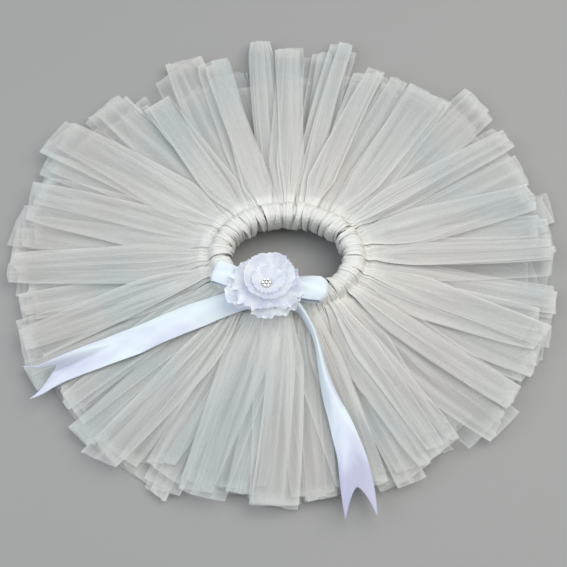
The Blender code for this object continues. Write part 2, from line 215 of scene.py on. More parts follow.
# Ribbon tails, in mm from the waist's middle: places on the middle line, how far the ribbon opens there as a
# share of its width, how high the fold along it stands, and how much of its one edge stands up
RIBBON_WIDTH = 38.0
RIBBON_WALL = 0.35
RIBBON_CLEARANCE = 1.0
RIBBON_COLUMNS = 41
RIBBON_ROWS = 120
Place = namedtuple("Place", "x y opened crease roll")
LEFT_TAIL = (
    Place(-30, -52, 0.42, 1.5, 0.0),
    Place(-59, -56, 0.60, 3.0, 0.0),
    Place(-94, -67, 0.72, 3.5, 0.0),
    Place(-125, -79, 0.76, 3.5, 0.0),
    Place(-156, -93, 0.74, 3.0, 0.2),
    Place(-187, -106, 0.54, 2.0, 0.5),
    Place(-217, -119, 0.46, 1.0, 0.6),
    Place(-245, -131, 0.46, 0.5, 0.6),
    Place(-258, -135, 0.48, 0.5, 0.6),
    Place(-271, -135, 0.50, 0.5, 0.6),
)
RIGHT_TAIL = (
    Place(-9, -55, 0.30, 2.0, 0.0),
    Place(10, -61, 0.20, 4.0, 0.0),
    Place(24, -80, 0.15, 7.0, 0.0),
    Place(31, -99, 0.16, 8.5, 0.0),
    Place(37, -126, 0.29, 9.0, 0.0),
    Place(44, -152, 0.46, 7.0, 0.0),
    Place(53, -176, 0.64, 5.0, 0.0),
    Place(60, -197, 0.74, 4.0, 0.0),
    Place(66, -217, 0.86, 2.5, 0.0),
    Place(70, -240, 0.90, 2.0, 0.0),
    Place(75, -280, 0.80, 1.5, 0.0),
)
STANDING_ANGLE = math.radians(92)

# A tail stands in an arch along its length where it opens less than this, fully so where it opens less again
# by the second share, and the arch is so many times as wide as high. The fold shifts to and fro by a share of
# the half width, with so many mm to a radian, and small ripples lift the ribbon by so many mm
ARCH_BELOW, ARCH_OVER = 0.5, 0.3
ARCH_WIDTH_TO_HEIGHT = 3.6
FOLD_SHIFT, FOLD_SHIFT_OVER = 0.25, 31
SLANTING_RIPPLE = 0.6
CROSSING_RIPPLE = 1.2

# The tails' ends, in mm: how deep the swallowtail's notch is and where across the ribbon its point is, from
# -1 to 1, how much shorter one side is, by what share one lobe splays, how far the end lifts, how strongly
# its end is painted with mauve shade, and which strips lie under the tail. A lobe is so many times as long as
# the notch
LOBE_OVER_NOTCH = 1.4
END_LIFTS_OVER = 85
# Painted mauve shade on a tail starts so far along it, in mm, and deepens over so many mm
PAINTED_SHADE_FROM, PAINTED_SHADE_OVER = 150, 60
Tail = namedtuple("Tail", "name places notch apex slant splay lift dusk under")
TAILS = (
    Tail("left", LEFT_TAIL, 36.0, -0.35, 8.0, 1.0, 0.0, 0.35, (20, 21, 22, 23, 24)),
    Tail("right", RIGHT_TAIL, 33.0, 0.0, 0.0, 0.0, 5.0, 0.9, (29, 30, 31, 32)),
)

# Bow loops, in mm from the waist's middle: where each ends, its width there and at the knot, how far it puffs
# up, how high its crown is, and how rounded its end is as a share of its reach. The ribbon runs out for the
# first share of its length, turns over for the next and comes back. It is pleated towards the knot, and its
# upper side, which starts at this height over the lower one, is dented and crowned
KNOT_X, KNOT_Y = -20.0, -43.0
KNOT_HALF = 7.5
BOW_LOW = 56.4
BOW_ROWS = 60
BOW_COLUMNS = 29
BOW_RUN, BOW_TURN = 0.44, 0.12
BOW_RUN_REACH, BOW_TURN_REACH = 0.93, 0.07
BOW_LEAST_RISE = 3.8
BOW_WIDENS = 1.4
BOW_PLEATS = 2.5
BOW_DENT = 1.1
TOP_FROM, TOP_OVER = 2, 4
Bow = namedtuple("Bow", "name reach_x reach_y width start_width puff crown rounded")
BOWS = (
    Bow("left", -76, -26, 25, 19, 7.4, 1.8, 0.04),
    Bow("right", 42, -48, 27, 19, 8.6, 4.2, 0.13),
)

# The wrap round the bow's middle, in mm, with how much cloth goes into each of its sides
WRAP_WIDTH = 12.4
WRAP_HALF_DEPTH = 10.6
WRAP_HALF_HEIGHT = 4.2
WRAP_MIDDLE = 58.5
WRAP_CORNER = 0.35
WRAP_SWELL = 0.03
WRAP_ROWS = 13
WRAP_SIDES = 48
WRAP_STEP = 1.35

# The flower's place from the waist's middle, in mm, and its layers, bottom first: how far each leans to the
# side and back, its radius, by what share its back is shorter, how high its rim curls and how far its front
# droops, then the size and count of the rim's frills and how ragged it is. The lowest layers are shorter in
# front too
FLOWER_X, FLOWER_Y = -21.0, -44.0
FLOWER_BASE = 64.0
FLOWER_SEED = 70
LAYER_STEP = 1.35
FRONT_SHORTER = 0.16
FRONT_SHORTER_LAYERS = 2
Layer = namedtuple("Layer", "name x y radius back cup droop frill frills ragged")
LAYERS = (
    Layer("outer", 0, 0, 41.0, 0.24, 3.0, 6.0, 3.2, 21, 0.10),
    Layer("second", 1, 1, 36.5, 0.20, 6.0, 3.0, 3.4, 17, 0.11),
    Layer("cup", 2.8, 5.5, 26.0, 0.0, 10.5, 0.0, 0.9, 15, 0.025),
    Layer("heart", 2, 3, 16.5, 0.0, 7.0, 0.0, 1.3, 8, 0.07),
)
PETAL_SIDES = 180
PETAL_RINGS = 22
FIRST_RING = 0.04
RIM_FROM, RIM_OVER = 0.93, 0.07
CURL_FROM, CURL_OVER = 0.2, 0.8

# Waves round the flower's rims, from the fewest to the most: its lobes and rags as shares of how ragged a
# layer is, its soft waves in mm, and how far the frills stray from their count
LOBE_WAVES, LOBE_SHARE = (3, 7), 0.8
RAG_WAVES, RAG_SHARE = (13, 31), 0.6
SOFT_WAVES, SOFT_HIGH = (3, 8), 1.1
FRILLS_STRAY = 5


def column_of(rows, name):
    """One named column of a table."""
    return np.array([getattr(row, name) for row in rows], float)


def along_runs(name, out):
    """A column of RUNS at a distance out in mm."""
    return np.interp(out, column_of(RUNS, "out"), column_of(RUNS, name))


def smooth_rows(keys, steps):
    """Rows on the smooth curve through the key rows. steps counts the rows from each key to the next."""
    keys = np.asarray(keys, float)
    padded = np.vstack([2 * keys[0] - keys[1], keys, 2 * keys[-1] - keys[-2]])
    rows = []
    for first, count in enumerate(steps):
        a, b, c, d = padded[first : first + 4]
        for inside in np.arange(count) / count:
            bend = (2 * a - 5 * b + 4 * c - d) * inside**2 + (3 * b - a - 3 * c + d) * inside**3
            rows.append(0.5 * (2 * b + (c - a) * inside + bend))
    rows.append(keys[-1])
    return np.array(rows)


def place_of(bearing, out):
    """World X and Y, in metres, of a bearing in degrees and a distance out in mm."""
    turn = np.radians(bearing)
    x = WAIST_X + (WAIST_HALF_WIDTH + out * MM) * np.cos(turn)
    y = WAIST_Y + (WAIST_HALF_DEPTH + out * MM) * np.sin(turn)
    return x, y


# Colours of the cloth, as linear red, green and blue
NET_IVORY = (0.76, 0.78, 0.75)
NET_TINTS = (
    (0.34, (0.70, 0.745, 0.75)),
    (0.50, (0.765, 0.78, 0.76)),
    (0.66, (0.775, 0.76, 0.735)),
)
# Painted light: the net is painted this paler ivory where it is gathered
NET_GATHERED_PAINTED_LIGHT = (0.94, 0.94, 0.90)
SATIN_WHITE = (0.72, 0.78, 0.87)
# The satin's tints run from painted mauve shade to painted reflection
SATIN_PAINTED_TINTS = (
    (0.05, (0.50, 0.51, 0.67)),
    (0.30, (0.68, 0.72, 0.86)),
    (0.45, (0.76, 0.83, 0.92)),
    (0.60, (0.80, 0.90, 0.93)),
)
CHIFFON_WHITE = (0.86, 0.86, 0.95)
# The chiffon's tints run from painted lavender shade to painted highlights
CHIFFON_PAINTED_TINTS = (
    (0.33, (0.72, 0.75, 0.90)),
    (0.56, (0.90, 0.93, 0.98)),
)

# Patterns to a metre, across and along the cloth; the clouds are patches of painted shade and highlights
NET_THREADS = (300, 11, 1)
NET_CREASES = (70, 5, 1)
SATIN_WARP = (2400, 60, 1)
SATIN_PAINTED_SHADING = (30, 14, 1)
CHIFFON_GRAIN = (1500, 1500, 1)
CHIFFON_PAINTED_SHADING = (75, 75, 1)


# Materials


def shader_of(name, colour, roughness, **constants):
    """A new material's nodes, links and Principled shader, with its constant values set on its sockets."""
    made = bpy.data.materials.new(name)
    made.use_nodes = True
    nodes, links = made.node_tree.nodes, made.node_tree.links
    shader = nodes["Principled BSDF"]
    shader.inputs["Base Color"].default_value = (*colour, 1.0)
    shader.inputs["Roughness"].default_value = roughness
    for socket, value in constants.items():
        shader.inputs[socket.replace("_", " ")].default_value = value
    return made, nodes, links, shader


def math_node(nodes, links, operation, *values, clamp=False):
    """One step of reckoning on numbers and other nodes' outputs."""
    node = nodes.new("ShaderNodeMath")
    node.operation = operation
    node.use_clamp = clamp
    for socket, value in zip(node.inputs, values):
        if isinstance(value, (int, float)):
            socket.default_value = value
        else:
            links.new(value, socket)
    return node.outputs[0]


def attribute(nodes, name):
    """A value that the cloth's mesh holds at each point."""
    node = nodes.new("ShaderNodeAttribute")
    node.attribute_name = name
    return node.outputs["Fac"]


def noise_node(nodes, links, vector, scale, detail):
    """Noise from 0 to 1 by place."""
    node = nodes.new("ShaderNodeTexNoise")
    node.inputs["Scale"].default_value = scale
    node.inputs["Detail"].default_value = detail
    links.new(vector, node.inputs["Vector"])
    return node.outputs["Fac"]


def cloth_noise(nodes, links, scale, detail):
    """Noise laid out on the flat cloth, with its scale across and along the cloth."""
    cloth = nodes.new("ShaderNodeUVMap")
    cloth.uv_map = "cloth"
    stretched = nodes.new("ShaderNodeMapping")
    stretched.inputs["Scale"].default_value = scale
    links.new(cloth.outputs["UV"], stretched.inputs["Vector"])
    return noise_node(nodes, links, stretched.outputs[0], 1.0, detail)


def ramp_node(nodes, links, factor, *stops):
    """A colour by the factor, through stops of a place and a colour each."""
    node = nodes.new("ShaderNodeValToRGB")
    ramp = node.color_ramp
    while len(ramp.elements) < len(stops):
        ramp.elements.new(0.5)
    for element, (position, colour) in zip(ramp.elements, stops):
        element.position = position
        element.color = (*colour, 1.0)
    links.new(factor, node.inputs["Fac"])
    return node.outputs["Color"]


def bump_node(nodes, links, shader, height, distance, strength=1.0):
    """Relief on a shader's surface. distance is what a height of 1 stands for, in metres."""
    node = nodes.new("ShaderNodeBump")
    node.inputs["Strength"].default_value = strength
    node.inputs["Distance"].default_value = distance
    links.new(height, node.inputs["Height"])
    links.new(node.outputs["Normal"], shader.inputs["Normal"])


def crease_lines(nodes, links, creases):
    """Thin lines, from 0 to 1, where the creases' noise passes its middle."""
    ridge = math_node(nodes, links, "MULTIPLY_ADD", creases, 2.0, -1.0)
    ridge = math_node(nodes, links, "ABSOLUTE", ridge)
    return math_node(nodes, links, "MULTIPLY_ADD", ridge, -7.0, 1.0, clamp=True)


def tulle_material():
    """Ivory nylon net: a point's cover comes from how tightly it is gathered, fold lines are denser, and
    painted light pales it where it is gathered.
    """
    made, nodes, links, shader = shader_of(
        "ivory tulle net", NET_IVORY, 0.85, Sheen_Weight=0.2, Sheen_Roughness=0.5
    )
    gather = attribute(nodes, "gather")
    threads = cloth_noise(nodes, links, NET_THREADS, detail=2.0)
    creases = cloth_noise(nodes, links, NET_CREASES, detail=1.0)
    ridge = crease_lines(nodes, links, creases)

    # Sheer between the threads, denser along creases, folds and edges
    streaks = math_node(nodes, links, "MULTIPLY_ADD", threads, 0.2, 0.66)
    streaks = math_node(nodes, links, "MULTIPLY_ADD", creases, 0.46, streaks)
    streaks = math_node(nodes, links, "MULTIPLY_ADD", ridge, 0.10, streaks)
    alpha = math_node(nodes, links, "MULTIPLY", attribute(nodes, "cover"), streaks)
    alpha = math_node(nodes, links, "MULTIPLY_ADD", attribute(nodes, "edge"), 0.25, alpha, clamp=True)
    links.new(alpha, shader.inputs["Alpha"])

    # Ivory that drifts from cool to warm, with painted light making it paler where many layers are drawn
    # together
    place = nodes.new("ShaderNodeTexCoord").outputs["Object"]
    drift = noise_node(nodes, links, place, scale=9.0, detail=1.0)
    tint = ramp_node(nodes, links, drift, *NET_TINTS)
    painted_paler = nodes.new("ShaderNodeMix")
    painted_paler.data_type = "RGBA"
    links.new(gather, painted_paler.inputs["Factor"])
    links.new(tint, painted_paler.inputs["A"])
    painted_paler.inputs["B"].default_value = (*NET_GATHERED_PAINTED_LIGHT, 1.0)
    links.new(painted_paler.outputs["Result"], shader.inputs["Base Color"])

    # Threads all over, and a crumple where the net is gathered
    crumple = noise_node(nodes, links, place, scale=380.0, detail=1.0)
    crumple = math_node(nodes, links, "MULTIPLY", crumple, gather)
    height = math_node(nodes, links, "MULTIPLY_ADD", crumple, 14.0, threads)
    bump_node(nodes, links, shader, height, distance=0.00007)
    return made


def satin_material():
    """White ribbon satin with a fine warp, in random patches of painted shade and painted reflection, and
    painted mauve shade towards a tail's end.
    """
    made, nodes, links, shader = shader_of(
        "white ribbon satin", SATIN_WHITE, 0.42, Sheen_Weight=0.1, Anisotropic=0.5, Specular_IOR_Level=0.22
    )
    warp = cloth_noise(nodes, links, SATIN_WARP, detail=2.0)
    # Random patches of painted shade and painted reflection
    painted_shading = cloth_noise(nodes, links, SATIN_PAINTED_SHADING, detail=2.0)
    # Towards a tail's end, painted mauve shade darkens the satin
    shade = math_node(nodes, links, "MULTIPLY_ADD", attribute(nodes, "dusk"), -0.5, painted_shading, clamp=True)
    links.new(ramp_node(nodes, links, shade, *SATIN_PAINTED_TINTS), shader.inputs["Base Color"])
    gloss = math_node(nodes, links, "MULTIPLY_ADD", warp, 0.2, 0.34)
    links.new(gloss, shader.inputs["Roughness"])
    bump_node(nodes, links, shader, warp, distance=0.00006, strength=0.5)
    return made


def chiffon_material():
    """Sheer white chiffon, in random patches of painted shade and painted highlights, and denser along its
    singed rim.
    """
    made, nodes, links, shader = shader_of(
        "white flower chiffon", CHIFFON_WHITE, 0.6, Sheen_Weight=0.35, Sheen_Roughness=0.4
    )
    grain = cloth_noise(nodes, links, CHIFFON_GRAIN, detail=1.0)
    # Random patches of painted lavender shade and painted highlights
    painted_shading = cloth_noise(nodes, links, CHIFFON_PAINTED_SHADING, detail=2.0)
    links.new(ramp_node(nodes, links, painted_shading, *CHIFFON_PAINTED_TINTS), shader.inputs["Base Color"])
    alpha = math_node(nodes, links, "MULTIPLY_ADD", grain, 0.2, 0.62)
    alpha = math_node(nodes, links, "MULTIPLY_ADD", attribute(nodes, "edge"), 0.3, alpha, clamp=True)
    links.new(alpha, shader.inputs["Alpha"])
    bump_node(nodes, links, shader, grain, distance=0.00008, strength=0.5)
    return made


def webbing_material():
    """Ribbed white elastic, painted darker in the grooves between its ribs as painted shade."""
    made, nodes, links, shader = shader_of("woven elastic", (0.84, 0.84, 0.80), 0.9, Sheen_Weight=0.2)
    place = nodes.new("ShaderNodeTexCoord").outputs["Object"]
    ribs = nodes.new("ShaderNodeTexWave")
    ribs.bands_direction = "Z"
    ribs.inputs["Scale"].default_value = 160.0
    ribs.inputs["Distortion"].default_value = 0.6
    links.new(place, ribs.inputs["Vector"])
    # The grooves between the ribs are painted darker: painted shade
    tint = ramp_node(nodes, links, ribs.outputs["Fac"], (0.2, (0.74, 0.74, 0.70)), (0.8, (0.88, 0.88, 0.85)))
    links.new(tint, shader.inputs["Base Color"])
    bump_node(nodes, links, shader, ribs.outputs["Fac"], distance=0.0004, strength=0.7)
    return made


def metal_material():
    """Silver-coloured plating with fine wear."""
    made, nodes, links, shader = shader_of("plated setting", (0.62, 0.62, 0.61), 0.28, Metallic=1.0)
    place = nodes.new("ShaderNodeTexCoord").outputs["Object"]
    wear = noise_node(nodes, links, place, scale=900.0, detail=3.0)
    tint = ramp_node(nodes, links, wear, (0.3, (0.45, 0.45, 0.44)), (0.7, (0.72, 0.72, 0.72)))
    links.new(tint, shader.inputs["Base Color"])
    gloss = math_node(nodes, links, "MULTIPLY_ADD", wear, 0.3, 0.15)
    links.new(gloss, shader.inputs["Roughness"])
    return made


def crystal_material():
    """Foiled cut stones, with glints painted on them as small light and dark spots."""
    made, nodes, links, shader = shader_of(
        "foiled crystal", (0.78, 0.80, 0.80), 0.05, Metallic=0.6, Coat_Weight=1.0, Coat_Roughness=0.02
    )
    place = nodes.new("ShaderNodeTexCoord").outputs["Object"]
    # Painted glints: small spots painted light and dark
    painted_glint = noise_node(nodes, links, place, scale=1400.0, detail=1.0)
    tint = ramp_node(nodes, links, painted_glint, (0.35, (0.30, 0.31, 0.33)), (0.65, (0.92, 0.94, 0.95)))
    links.new(tint, shader.inputs["Base Color"])
    return made


# Making pieces


def sheet_mesh(name, points, cloth, look, wrap=False, **attributes):
    """A sheet from rows of points in metres, with its places on the flat cloth as a UV map."""
    rows, columns = points.shape[:2]
    steps = columns if wrap else columns - 1
    row, step = np.meshgrid(np.arange(rows - 1), np.arange(steps), indexing="ij")
    after = (step + 1) % columns
    here, next_row = row * columns, (row + 1) * columns
    faces = np.stack([here + step, here + after, next_row + after, next_row + step], axis=-1).reshape(-1, 4)
    mesh = bpy.data.meshes.new(name)
    mesh.from_pydata(points.reshape(-1, 3).tolist(), [], faces.tolist())
    spread = mesh.uv_layers.new(name="cloth")
    loops = np.empty(len(mesh.loops), np.int32)
    mesh.loops.foreach_get("vertex_index", loops)
    spread.data.foreach_set("uv", cloth.reshape(-1, 2)[loops].ravel().astype(np.float32))
    for label, values in attributes.items():
        held = mesh.attributes.new(label, "FLOAT", "POINT")
        held.data.foreach_set("value", np.broadcast_to(values, points.shape[:2]).ravel().astype(np.float32))
    mesh.materials.append(look)
    mesh.shade_smooth()
    made = bpy.data.objects.new(name, mesh)
    bpy.context.scene.collection.objects.link(made)
    return made


def finish_piece(piece, slot, *nodes):
    """Puts a finished piece on the skirt's one body, in place of its CAD nodes."""
    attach(piece, "root")
    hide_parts(*nodes)


def make_satin_thick(piece):
    """Gives a sheet of satin the cloth's thickness."""
    shell = piece.modifiers.new("cloth", "SOLIDIFY")
    shell.thickness = RIBBON_WALL * MM
    shell.offset = 0.0


# Tulle strips


Rows = namedtuple("Rows", "inner_out inner_high outer_out outer_high bearing width roundness wave to_tip")


def lies_outermost(number):
    """Every other strip lies on the lowest and the highest level, and the rest between them."""
    return number % 2 == 0


def blend(first, second, share):
    """A mix of two values, all of the second where share is 1."""
    return first * (1 - share) + second * share


def tail_keys(level, bearing, spread, reach, root, upper):
    """A tail's key sections from its tip to the collar, with the columns of Rows."""
    keys = []
    for out in (reach, *TAIL_OUTS):
        low, stack, wave, share = (float(along_runs(name, out)) for name in (level, "stack", "wave", "share"))
        to_tip = np.clip((out - TAIL_OUTS[-1]) / (reach - TAIL_OUTS[-1]), 0, 1)
        width = spread * to_tip**2 + share * PITCH * (1 - to_tip**2)
        middle = root + (bearing - root) * to_tip
        inner, outer = (low, low + stack) if upper else (low + stack, low)
        roundness = float(np.interp(out, (TAIL_OUTS[-1], FLAT_FROM), (ROUND_AT_COLLAR, 0.0)))
        keys.append((out, inner, out, outer, middle, width, roundness, wave, to_tip))
    return keys


def strip_keys(draw, number, strip):
    """A strip's key sections, from the tip of its lower tail to the tip of its upper tail."""
    root = number * PITCH
    turned, swell, widened = draw.uniform(*LOOP_TURNS), draw.uniform(*LOOP_SWELLS), draw.uniform(*LOOP_WIDTHS)
    lower_level, upper_level = ("floor", "top") if lies_outermost(number) else ("raised", "under")
    lower = tail_keys(lower_level, strip.lower_bearing, strip.lower_spread, strip.lower_reach, root, False)
    upper = tail_keys(upper_level, strip.upper_bearing, strip.upper_spread, strip.upper_reach, root, True)
    middle = []
    for loop in LOOPS:
        is_swollen = abs(loop.outer_out) > SWELLS_PAST_OUT
        outer_out = loop.outer_out + math.copysign(swell, loop.outer_out) * is_swollen
        outer_high = loop.outer_high + swell * (loop.outer_high > SWELLS_PAST_HIGH)
        width = LOOP_SHARE * PITCH * widened
        place = (loop.inner_out, loop.inner_high, outer_out, outer_high)
        middle.append((*place, root + turned, width, LOOP_ROUNDNESS, 0.0, 0.0))
    return lower + middle + upper[::-1]


def zigzags(draw, panels, least, most, count=1):
    """The cloth folded back and forth across a tail, each fold between least and most from the middle.

    Rows of one call share their folds' places on the cloth, and not how far the folds reach.
    """
    places = np.linspace(0, 1, panels + 1)
    places[1:-1] += draw.uniform(-FOLD_STRAY, FOLD_STRAY, panels - 1) / panels
    first = draw.choice((-1, 1))
    rows = []
    for _ in range(count):
        sides = first * (-1.0) ** np.arange(panels + 1) * draw.uniform(least, most, panels + 1)
        row = np.interp(np.linspace(0, 1, TULLE_COLUMNS), places, sides)
        rows.append(np.convolve(np.pad(row, 1, "edge"), SOFTENED, "valid"))
    return rows


def tail_folds(draw, tip_width):
    """A tail's large folds as shares of its half width, how far its cloth spreads, and its cut end in mm."""
    panels = int(np.clip(round(TULLE_WIDTH / (PANEL_SPAN * tip_width)), FEWEST_PANELS, MOST_PANELS))
    folds = zigzags(draw, panels, PANEL_SPAN - PANEL_STRAY, PANEL_SPAN + PANEL_STRAY, 2)
    widest = TULLE_WIDTH / (PANEL_SPAN * panels)
    ends = np.interp(
        np.linspace(0, panels, TULLE_COLUMNS),
        np.arange(panels + 1),
        np.concatenate([[0], np.cumsum(draw.uniform(-END_SLANT, END_SLANT, panels) * widest)]),
    )
    return folds, widest, ends - ends.max()


def ribs(draw, sideways, along, cycles):
    """Creases that all the layers of a tail share, from -1 to 1."""
    total = 0
    for count in cycles:
        total = total + draw.uniform(0.5, 1.0) * np.sin(
            math.pi * count * sideways + draw.uniform(*ANY_PHASE) + draw.uniform(-1.5, 1.5) * along
        )
    return total / len(cycles)


def section_sizes(rows):
    """For each section, how far a radian is on its bend round the waist, and how wide it is, in mm."""
    turn = np.radians(rows.bearing)
    reach_x = (WAIST_HALF_WIDTH / MM + rows.outer_out) * np.sin(turn)
    reach_y = (WAIST_HALF_DEPTH / MM + rows.outer_out) * np.cos(turn)
    around = np.hypot(reach_x, reach_y)
    return around, around * np.radians(rows.width)


def strip_folds(draw, wide, to_tip):
    """Large folds in the tails and smaller pleats towards the waist.

    Returns where the cloth lies sideways, how sharply its large folds turn, how far its small pleats rise and
    where its cut ends are, all in mm.
    """
    lower, lower_widest, lower_ends = tail_folds(draw, wide[0, 0])
    upper, upper_widest, upper_ends = tail_folds(draw, wide[-1, 0])
    is_upper = np.clip((np.linspace(0, 1, len(wide))[:, None] - CROSSES_FROM) / CROSSES_OVER, 0, 1)
    is_upper = is_upper * is_upper * (3 - 2 * is_upper)
    spread = np.minimum(wide, blend(lower_widest, upper_widest, is_upper)) / 2
    sideways = spread * blend(blend(*lower, to_tip), blend(*upper, to_tip), is_upper)
    turned = np.pad(np.abs(np.diff(sideways, 2, axis=1)), ((0, 0), (1, 1)))
    middle_size = np.minimum(np.interp(to_tip, TO_TIP, MIDDLE_PLEAT_SIZES), spread * MIDDLE_PLEAT_MOST)
    sideways = sideways + middle_size * zigzags(draw, MIDDLE_PLEATS, *MIDDLE_PLEAT_SHARES)[0]
    small_size = np.interp(to_tip, TO_TIP, SMALL_PLEAT_SIZES)
    small = zigzags(draw, SMALL_PLEATS, *SMALL_PLEAT_SHARES)[0]
    rise = small_size * SMALL_PLEAT_RISE * np.roll(small, 2)
    return sideways + small_size * small, turned, rise, blend(lower_ends, upper_ends, is_upper) * to_tip**2


def creases_and_lift(draw, number, rows, place, rise):
    """How far creases move the cloth, and how far waves and drooping edges lift it, in mm."""
    crease = np.interp(rows.to_tip, TO_TIP, CREASE_SIZES) * ribs(draw, place, rows.to_tip * 2, CREASE_CYCLES)
    droop = EDGE_DROOP * rows.to_tip**0.4 * (1 - rows.to_tip) * np.clip(np.abs(place), 0, 1.3) ** 2
    droop = droop * (1 if lies_outermost(number) else RAISED_DROOP_SHARE)
    wave = rows.wave * (0.6 + 0.6 * ribs(draw, place, rows.to_tip * 3, WAVE_CYCLES))
    return crease + rise, -droop + wave


def net_cover(points, to_tip, loop_share):
    """How much of what lies behind it the pleated net covers at each point."""
    spacing = np.linalg.norm(np.diff(points, axis=1), axis=2)
    layers = TULLE_WIDTH * MM / (TULLE_COLUMNS - 1) / np.maximum(spacing, LEAST_SPACING)
    layers = np.pad(layers, ((0, 0), (SMOOTHED_COLUMNS // 2, SMOOTHED_COLUMNS // 2)), "edge")
    windows = [layers[:, start : start + TULLE_COLUMNS] for start in range(SMOOTHED_COLUMNS)]
    most = MOST_LAYERS_AT_TIP + MORE_LAYERS_AT_COLLAR * (1 - to_tip) ** 3
    layers = np.clip(sum(windows) / SMOOTHED_COLUMNS, 1, most) + LOOP_LAYERS * loop_share
    return 1 - (1 - SINGLE_COVER * (1 - TIP_SHEERER * to_tip**2)) ** layers


def tulle_strip(number, strip, look):
    """A strip of net as one sheet, from its lower tail's tip over the elastic to its upper tail's tip."""
    draw = np.random.default_rng(STRIP_SEED + number)
    steps = (*TAIL_STEPS, *LOOP_STEPS, *TAIL_STEPS[::-1])
    rows = Rows(*smooth_rows(strip_keys(draw, number, strip), steps).T[:, :, None])
    rows = rows._replace(to_tip=np.clip(rows.to_tip, 0, 1), roundness=np.clip(rows.roundness, 0, 1))
    around, wide = section_sizes(rows)
    sideways, turned, rise, ends = strip_folds(draw, wide, rows.to_tip)
    place = sideways / (wide / 2)
    crease, lift = creases_and_lift(draw, number, rows, place, rise)

    # Each column lies deeper in the stack of layers than the last, under the loop's round back
    across = np.linspace(0, 1, TULLE_COLUMNS)[None, :]
    round_back = 1 - rows.roundness * (1 - np.sqrt(1 - 0.45 * np.clip(np.abs(place), 0, 1.15) ** 2))
    depth = (FIRST_DEPTH + DEPTH_OVER * across) * round_back
    loop_share = np.clip(1 - rows.to_tip * 8, 0, 1)
    stack_out, stack_high = rows.outer_out - rows.inner_out, rows.outer_high - rows.inner_high
    out = rows.inner_out + stack_out * depth + ends + crease * loop_share * np.sign(stack_out)
    high = rows.inner_high + stack_high * depth + crease + lift
    x, y = place_of(rows.bearing + np.degrees(sideways / around), out)
    points = np.stack([x, y, np.maximum(high, TULLE_LOWEST) * MM], axis=-1)

    # The flat cloth's places, and what the material reads at each point
    lengths = np.linalg.norm(np.diff(points[:, TULLE_COLUMNS // 2], axis=0), axis=1)
    length = np.concatenate([[0], np.cumsum(lengths)])
    flat = np.stack(np.broadcast_arrays(across * TULLE_WIDTH * MM, length[:, None]), axis=-1)
    cover = net_cover(points, rows.to_tip, loop_share)
    edge = FOLD_LINE * np.clip(turned / FOLD_LINE_TURN, 0, 1) * np.clip(rows.to_tip * 4 - 0.6, 0, 1)
    edge[:, (0, -1)] = 1.0
    edge[(0, -1), :] = 1.0
    # How tightly the net is gathered: painted light pales it there, and it crumples
    gather = np.maximum(loop_share, GATHER_SHARE * np.clip(1 - rows.to_tip * 1.8, 0, 1))
    piece = sheet_mesh(f"tulle_{number + 1:02d}", points, flat, look, cover=cover, edge=edge, gather=gather)
    finish_piece(piece, "tulle", f"tulle_strip_{number + 1:02d}")


# Ribbon and bow


def skirt_top(x, y):
    """The height in mm of what lies under the ribbon at places in mm from the waist's middle.

    Halves the range of distances out from the elastic until it holds the place closely.
    """
    low, high = np.full(x.shape, NEAREST_OUT), np.full(x.shape, FURTHEST_OUT)
    for _ in range(HALVINGS):
        out = (low + high) / 2
        inside = (x / (WAIST_HALF_WIDTH / MM + out)) ** 2 + (y / (WAIST_HALF_DEPTH / MM + out)) ** 2 < 1
        low, high = np.where(inside, low, out), np.where(inside, out, high)
    return np.interp(low, column_of(RESTS, "out"), column_of(RESTS, "high"))


def satin_piece(name, points, flat, node, look, dusk=0.0):
    """Satin from rows of points in mm from the waist's middle. flat is the cloth's width and length in mm."""
    rows, columns = points.shape[:2]
    across, along = np.meshgrid(np.linspace(0, flat[0], columns), np.linspace(0, flat[1], rows))
    moved = points * MM + np.array([WAIST_X, WAIST_Y, 0])
    piece = sheet_mesh(name, moved, np.stack([across, along], axis=-1) * MM, look, dusk=dusk)
    make_satin_thick(piece)
    finish_piece(piece, "ribbon_satin", node)
    return piece


def cut_end(tail, side, length):
    """How far along a tail its points are, in mm, down to its hollow swallowtail cut."""
    from_apex = np.abs(side - tail.apex) / (1 + np.sign(side - tail.apex) * -tail.apex)
    share = np.linspace(0, 1, RIBBON_ROWS)[:, None]
    return share * (length - tail.notch * (1 - from_apex**1.5) - tail.slant * (1 + side) / 2)


def turned_edge(side, opened, roll):
    """How far each point is from the ribbon's middle line, and how high its turned-up edge stands, in mm."""
    bend = np.clip((-side - 2 * opened + 1.25) / 0.3, 0, 1) * roll
    angle = STANDING_ANGLE * bend * bend * (3 - 2 * bend)
    step = RIBBON_WIDTH / (RIBBON_COLUMNS - 1) * (opened + (1 - opened) * roll)
    level = -np.cumsum((np.cos(angle) * step)[:, ::-1], axis=1)[:, ::-1]
    level = level - (level.max(axis=1, keepdims=True) + level.min(axis=1, keepdims=True)) / 2
    stand = np.cumsum((np.sin(angle) * step)[:, ::-1], axis=1)[:, ::-1]
    return level, stand


def long_fold(side, at, opened, crease):
    """How high the fold along the ribbon stands, in mm: soft where it is open, an arch where it is narrow."""
    fold = np.cos((side + FOLD_SHIFT * np.sin(at / FOLD_SHIFT_OVER)) * math.pi / 2) * crease
    gathered = np.clip((ARCH_BELOW - opened) / ARCH_OVER, 0, 1) * np.sqrt(np.clip(0.85 - opened**2, 0, 1))
    arch = gathered * RIBBON_WIDTH / ARCH_WIDTH_TO_HEIGHT * np.sqrt(np.clip(1 - side**2, 0, 1))
    return fold * (1 - 0.6 * gathered) + arch


def ripples(side, at):
    """How high small ripples lift the ribbon, in mm."""
    slanting = SLANTING_RIPPLE * np.sin(at / 11 + side * 1.7 + 2) * np.sin(at / 37 + 1)
    return np.abs(slanting + CROSSING_RIPPLE * np.sin(at / 23 + 0.6 * side))


